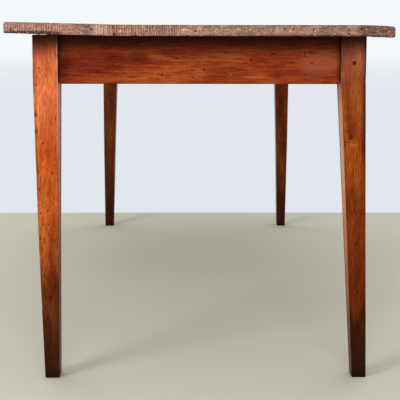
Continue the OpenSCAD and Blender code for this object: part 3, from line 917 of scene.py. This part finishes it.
def board_planed(points, out, end, upper, from_end, seed):
    """Depth by which a board's faces and ends are planed, hollowed and scrubbed at each point."""
    planed = planed_off(points, BOARD_PLANED, seed + 1)
    hollow = planed_off(points, BOARD_HOLLOWS, seed + 2) * np.abs(out[:, 2])
    planed += hollow * np.where(upper, 1, np.clip(from_end / HOLLOW_EASE, 0, 1))
    scrubbed = np.clip((points[:, 0] - SEAM_LEFT) / SCRUBBED_EASE, 0, 1) * np.clip(out[:, 2], 0, 1)
    planed += SCRUBBED * closeness(from_end, SCRUBBED_RUN) * scrubbed
    for i, relief in enumerate(END_RELIEFS, 3):
        planed += planed_off(points, relief, seed + i) * end
    return planed


def board_knocks(points, rng, low, high, side):
    """Depth of a board's dents: at its ends, at the table's own long edges, and the end's marks."""
    knocks = arris_dents(points, rng, low, high, 0, *END_DENTS)
    if side:
        knocks = np.maximum(knocks, arris_dents(points, rng, low, high, 1, *EDGE_DENTS))
    places = [(x * MM, low[1], z * MM) for x, z, _, _ in END_MARKS]
    sizes, depths = ([mark[i] * MM for mark in END_MARKS] for i in (2, 3))
    return np.maximum(knocks, dents(points, places, sizes, depths))


def worn_board(node, side, seed, material):
    """A board of the top. side is -1 or 1 where its long edge is the table's own, else 0."""
    rng = np.random.default_rng(seed)
    low, high = node_box(node)
    low[2], high[2] = UNDERSIDE, UPPER_SIDE
    points, quads, arris = box_skin(low, high, BOARD_STEPS)
    upper = points[:, 2] > (low[2] + high[2]) / 2
    from_end = high[1] - np.abs(points[:, 1])
    at_end = from_end < END_REACH
    from_sides = {-1: points[:, 0] - low[0], 1: high[0] - points[:, 0]}
    own_edge = from_sides.get(side, FAR_AWAY)
    wear = board_wear(points, side, own_edge, upper, at_end, seed)
    # The end's arris dirt runs along its upper and lower edges and the table's own edge; along the lower
    # edge it is painted shade too
    flat_end = closeness(np.minimum(points[:, 2] - low[2], high[2] - points[:, 2]), ARRIS_REACH)
    flat_end = np.maximum(flat_end, closeness(own_edge, ARRIS_REACH))
    seam, closing = 0, 0
    reach_low, reach_high = low + np.zeros_like(points), high + np.zeros_like(points)
    for edge, reach in ((-1, reach_low), (1, reach_high)):
        if edge != side:
            reach[:, 0] += edge * SEAM_SQUARE * at_end
            seam = np.maximum(seam, closeness(from_sides[edge], SEAM_REACH) * upper)
            closing += edge * closeness(from_sides[edge], SEAM_RUN)
    points, out = rounded(points, reach_low, reach_high, wear)
    points[:, 0] += SEAM_CLOSE * closeness(from_end, SEAM_RUN) * closing
    end = np.clip(np.abs(out[:, 1]) * END_SLOPE - END_SHIFT, 0, 1)
    planed = board_planed(points, out, end, upper, from_end, seed)
    knocks = board_knocks(points, rng, low, high, side)
    points = points - out * (planed + knocks)[:, None]
    swollen = 0
    for x, size, deep in SWELLINGS:
        swelling = dents(points, [(x * MM, low[1], low[2])], [size * MM], [deep * MM])
        swollen = np.maximum(swollen, swelling)
    points[:, 2] -= swollen * (high[2] - points[:, 2]) / (high[2] - low[2])
    if side:
        points = rounded_plan(points)
    points[:, 2] += rise(points[:, 0])
    add_piece("old_" + node, node, "top_wood", points, quads, material, knocks,
              arris=np.where(at_end, flat_end, arris), end=end, under=-out[:, 2], seam=seam)


def rounded_plan(points):
    """Rounds the top's corners, seen from above."""
    past = np.abs(points[:, :2]) - (np.array([EDGE_RIGHT, END_Y]) - CORNER_R)
    u, v = past.T / CORNER_R
    inside = (u > 0) & (v > 0)
    drawn_in = [
        np.where(inside, a * (np.sqrt(np.clip(1 - b * b / 2, 0, 1)) - 1), 0) for a, b in ((u, v), (v, u))
    ]
    points[:, :2] += np.sign(points[:, :2]) * np.stack(drawn_in, axis=1) * CORNER_R
    return points


# A forged nail: a square tapering shank under a head of hammered facets, sunk by use
NAIL_LENGTH, NAIL_SHANK, NAIL_HEAD, NAIL_SUNK = 46 * MM, 3.7 * MM, 8.8 * MM, 0.4 * MM
FACETS = 7
# Rings of the head, as a share of its width and a drop below its highest point
HEAD_RINGS = ((0.22, 0), (0.40, 0.15 * MM), (0.5, 0.6 * MM), (0.47, 1.5 * MM))
SHANK_RINGS = ((0.5, 1.3 * MM), (0.5, 28 * MM), (0.15, NAIL_LENGTH))
NAILS = ("leg_head_nails", "end_apron_nails", "side_apron_nails", "bearer_nails")


def nail_places(node):
    """Where the nails of a CAD node stand, with the height of their heads."""
    points = node_points(node)
    places = []
    while len(points):
        near = np.hypot(*(points[:, :2] - points[0, :2]).T) < 2 * NAIL_HEAD
        group = points[near]
        middle = (group.min(axis=0) + group.max(axis=0)) / 2
        places.append((middle[0], middle[1], group[:, 2].max()))
        points = points[~near]
    return places


def closed_tube(points, faces, rings):
    """Adds rings of points, joined by quads and closed at both ends."""
    start, sides = len(points), len(rings[0])
    for ring in rings:
        points += ring
    for k in range(len(rings) - 1):
        a, b = start + k * sides, start + (k + 1) * sides
        faces += [(a + i, b + i, b + (i + 1) % sides, a + (i + 1) % sides) for i in range(sides)]
    last = start + (len(rings) - 1) * sides
    faces += [list(range(start, start + sides)), list(range(last + sides - 1, last - 1, -1))]


def forged_nails(node, seed, material):
    rng = np.random.default_rng(seed)
    points, faces = [], []
    for x, y, top in nail_places(node):
        turn = rng.uniform(0, math.tau)
        head, shank = [], []
        for share, drop in HEAD_RINGS:
            ring = []
            for i in range(FACETS):
                angle = turn + math.tau * i / FACETS
                radius = share * NAIL_HEAD * rng.uniform(0.88, 1.0)
                z = top - NAIL_SUNK - drop - rng.uniform(0, 0.1) * MM
                ring.append((x + radius * math.cos(angle), y + radius * math.sin(angle), z))
            head.append(ring)
        for share, drop in SHANK_RINGS:
            radius = share * NAIL_SHANK * math.sqrt(2)
            angles = [turn + math.tau * (i + 0.5) / 4 for i in range(4)]
            shank.append([(x + radius * math.cos(a), y + radius * math.sin(a), top - drop) for a in angles])
        closed_tube(points, faces, head)
        closed_tube(points, faces, shank)
    mesh = bpy.data.meshes.new("forged_" + node)
    mesh.from_pydata(points, [], faces)
    lay_over(mesh, node, material)


SOFT_ARRIS, SHARP_ANGLE = 0.5 * MM, math.radians(50)


def dress(node, material):
    """Gives a CAD node its own material and soft arrises."""
    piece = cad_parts[node]
    piece.data.materials.clear()
    piece.data.materials.append(material)
    bevel = piece.modifiers.new("soft_arrises", "BEVEL")
    bevel.width = SOFT_ARRIS
    bevel.segments = 2
    bevel.limit_method = "ANGLE"
    bevel.angle_limit = SHARP_ANGLE


# Floor and room light. The pale backdrop is the part of the stage outside the floor's own area.
FLOOR_X, FLOOR_Y = (-3.4, 3.4), (-3.2, 0.95)
FLOOR_FADE = 0.02
STAGE_REACH = 300.0
WALL_SHADE, HIGH_SHADE = shade(225, 231, 236), shade(243, 248, 251)
WALL_FADE = (6.0, 24.0)
FLOOR_SHADE = shade(208, 204, 188)
# Light from the room on the table: its level from behind the camera, and from the lit backdrop,
# and between which directions along Y it changes
ROOM_LEVELS, ROOM_TURN = (0.14, 0.9), (-0.2, 0.5)
# Area lamps: place, target, size and watts
LAMPS = {
    "window": ((-3.5, -3.5, 2.15), (-0.32, -0.75, 0.7), (1.7, 1.7), 104),
    "front": ((0.2, -4.1, 2.4), (0, -0.75, 0.6), (2.2, 1.9), 56),
    "overhead": ((0, 0, 3.4), (0, 0, 0), (7.0, 6.0), 100),
}


def shown_share(n):
    """1 for the rays that show the backdrop itself: the camera's, and those of gloss and glass."""
    path = n.add("LightPath").outputs
    return n.most(path["Is Camera Ray"], path["Is Glossy Ray"], path["Is Transmission Ray"])


def floor_material():
    """Grey floor round the table, and a pale backdrop colour past it."""
    n = new_material("studio_floor")
    x, y, _ = n.place()
    floor_share = 1.0
    for axis, (low, high) in ((x, FLOOR_X), (y, FLOOR_Y)):
        begun = n.remap(axis, low - FLOOR_FADE, low + FLOOR_FADE)
        floor_share = n.times(floor_share, begun, n.fade(axis, high - FLOOR_FADE, high + FLOOR_FADE))
    pale = n.mix(n.remap(y, *WALL_FADE), WALL_SHADE, HIGH_SHADE)
    bright = n.add("Emission", Color=pale, Strength=1.0).outputs[0]
    shaded = n.add("BsdfDiffuse", Color=WALL_SHADE).outputs[0]
    far = n.mix_shaders(shown_share(n), shaded, bright)
    near = n.add("BsdfDiffuse", Color=FLOOR_SHADE).outputs[0]
    n.add("OutputMaterial", Surface=n.mix_shaders(floor_share, far, near))
    return n.owner


def make_floor():
    mesh = bpy.data.meshes.new("studio_floor")
    r = STAGE_REACH
    mesh.from_pydata([(-r, -r, 0), (r, -r, 0), (r, r, 0), (-r, r, 0)], [], [(0, 1, 2, 3)])
    mesh.materials.append(floor_material())
    linked("studio_floor", mesh)


def make_world():
    """Soft light from the room, and a pale backdrop for the camera, for gloss and for glass."""
    world = bpy.data.worlds.new("studio")
    bpy.context.scene.world = world
    n = Nodes(world)
    direction = n.split(n.add("TexCoord").outputs["Generated"])
    level = n.remap(direction["Y"], *ROOM_TURN, *ROOM_LEVELS, ease="LINEAR")
    room = n.add("Background", Color=HIGH_SHADE, Strength=level).outputs[0]
    backdrop = n.add("Background", Color=HIGH_SHADE, Strength=1.0).outputs[0]
    n.add("OutputWorld", Surface=n.mix_shaders(shown_share(n), room, backdrop))


def make_lamp(name, place, target, size, watts):
    lamp = bpy.data.lights.new(name, "AREA")
    lamp.shape = "RECTANGLE"
    lamp.size, lamp.size_y = size
    lamp.energy = watts
    holder = linked(name, lamp)
    holder.location = place
    direction = Vector(target) - Vector(place)
    holder.rotation_euler = direction.to_track_quat("-Z", "Y").to_euler()


# The looks of each leg. Its marks are spots on its front face, and its patches are such spots
# with a colour and how far it covers.
WET_FOOT = (0.0, 28 * MM)
REAR_LOOKS = {"dirt_and_shade": REAR_DIRT, "foot": (*WET_FOOT, 0.6), "sheen": 0.35}
LEGS = {
    "leg_front_left": {
        "seed": 11,
        "tones": ((190, 80, 28), (211, 102, 42), (226, 124, 55)),
        "pith": (-0.42, -0.9),
        "dirt_and_shade": LEFT_DIRT_AND_SHADE,
        "foot": (18 * MM, 21 * MM, 0.68),
        "sheen": 0.34,
        "sheen_band": (0.46, 0.6),
        "dark": 0.3,
        "marks": (
            (-331, 662, 3, 3), (-336, 629, 3, 4), (-339, 567, 6, 9), (-338, 532, 5, 8),
            (-298, 559, 2.6, 4), (-325, 507, 3, 3), (-306, 444, 3, 4), (-295, 429, 2.6, 4),
            (-332, 359, 2.6, 3), (-317, 365, 2.4, 4), (-328, 336, 3, 3), (-316, 336, 2.4, 3),
            (-334, 306, 3, 4), (-310, 302, 2.6, 4), (-315, 177, 3.4, 3.4),
        ),
        "pale": (0.65, 0.5, 0.7),
    },
    "leg_front_right": {
        "seed": 23,
        "tones": ((127, 50, 11), (147, 66, 15), (167, 84, 24)),
        "pith": (0.42, -0.86),
        "dirt_and_shade": RIGHT_DIRT_AND_SHADE,
        "foot": (*WET_FOOT, 0.45),
        "sheen": 0.4,
        "head": (0.678, 0.729),
        "dark": 0.95,
        "patches": (
            ((315, 532, 14, 26), (88, 36, 16), 0.6), ((321, 504, 12, 4), (190, 100, 48), 0.6),
            ((318, 612, 12, 40), (176, 84, 44), 0.4), ((306, 560, 8, 12), (104, 42, 18), 0.5),
        ),
        "marks": ((315, 520, 4, 9), (303, 509, 5, 3), (335, 188, 3.4, 4.4)),
        "face_light": (
            (0.0, 0.05), (0.07, 0.12), (0.16, 0.28), (0.28, 0.6), (0.47, 0.75), (0.58, 0.5), (0.63, 0.05),
        ),
    },
    "leg_rear_left": {
        "seed": 37,
        "tones": ((97, 43, 16), (117, 57, 23), (137, 73, 31)),
        "pith": (-0.4, 0.9),
        **REAR_LOOKS,
    },
    "leg_rear_right": {
        "seed": 41,
        "tones": ((112, 49, 17), (134, 64, 24), (156, 80, 33)),
        "pith": (0.4, 0.88),
        **REAR_LOOKS,
    },
}
# The head of the left front leg fills part of the gap under the lifted board
PROUD = {"leg_front_left": 2.1 * MM}
# Marks and patches on the front apron's outer face, given as the legs' are
FRONT_MARKS = (
    (-78, 648, 4, 3), (9, 659, 4, 4), (107, 678, 4, 4), (-13, 643, 3, 2.4), (193, 674, 7, 1.6),
    (153, 691, 9, 1.6), (219, 692, 1.6, 9), (232, 695, 8, 2), (233, 673, 7, 1.6), (-48, 682, 8, 2),
)
BROWN_STAIN, PURPLE_STAIN = (84, 32, 12), (84, 44, 40)
ORANGE_STAIN, PINK_STAIN = (200, 94, 42), (166, 88, 66)
FRONT_PATCHES = (
    ((-230, 676, 40, 30), BROWN_STAIN, 0.12), ((-127, 688, 30, 12), BROWN_STAIN, 0.6),
    ((-60, 694, 40, 12), BROWN_STAIN, 0.5), ((-140, 646, 14, 8), BROWN_STAIN, 0.35),
    ((178, 711, 16, 6), PURPLE_STAIN, 0.7), ((246, 670, 56, 40), PINK_STAIN, 0.45),
    ((10, 666, 110, 34), BROWN_STAIN, 0.2), ((-95, 656, 26, 8), ORANGE_STAIN, 0.25),
    ((-215, 660, 22, 6), PURPLE_STAIN, 0.2), ((236, 694, 22, 4), PURPLE_STAIN, 0.45),
    ((150, 700, 40, 8), PURPLE_STAIN, 0.3),
)
# Steps along the end and side aprons' skins
END_STEP, SIDE_STEP = 5 * MM, 8 * MM
# The top's boards: their free side, seed, pith and how light their upper face is
BOARDS = {
    "top_board_left": (-1, 71, (0.64, -0.26), 1.04),
    "top_board_mid_left": (0, 73, (0.83, -0.02), 0.9),
    "top_board_mid_right": (0, 79, (0.60, 0.12), 1.08),
    "top_board_right": (1, 83, (0.86, 0.28), 0.96),
}


def build_table():
    """The table, piece by piece."""
    for node, looks in LEGS.items():
        worn_leg(node, looks["seed"], PROUD.get(node, 0.0), leg_material("waxed_" + node, **looks))
    front_wood = apron_material("waxed_front_apron", "X", 53, FRONT_MARKS, FRONT_PATCHES)
    worn_apron("end_apron_front", 0, END_STEP, 53, front_wood)
    worn_apron("end_apron_rear", 0, END_STEP, 59, apron_material("waxed_rear_apron", "X", 59))
    side_wood = apron_material("waxed_side_apron", "Y", 61)
    worn_apron("side_apron_left", 1, SIDE_STEP, 61, side_wood)
    worn_apron("side_apron_right", 1, SIDE_STEP, 67, side_wood)
    for node, (side, seed, pith, level) in BOARDS.items():
        worn_board(node, side, seed, top_material("old_" + node, seed, pith, level))
    iron = iron_material("old_iron")
    for seed, node in enumerate(NAILS, 91):
        forged_nails(node, seed, iron)
    inner_across = bare_material("inner_wood_across", "X", 97)
    inner_along = bare_material("inner_wood_along", "Y", 101)
    pegs = peg_material("old_pegs")
    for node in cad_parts:
        if node.startswith("cross_bearer"):
            dress(node, inner_across)
        if node.startswith("tongue"):
            dress(node, inner_along)
        if node.endswith("pegs"):
            dress(node, pegs)


build_table()
make_camera()
make_floor()
make_world()
for lamp_name, lamp_looks in LAMPS.items():
    make_lamp(lamp_name, *lamp_looks)

bpy.context.scene.view_settings.view_transform = "Standard"
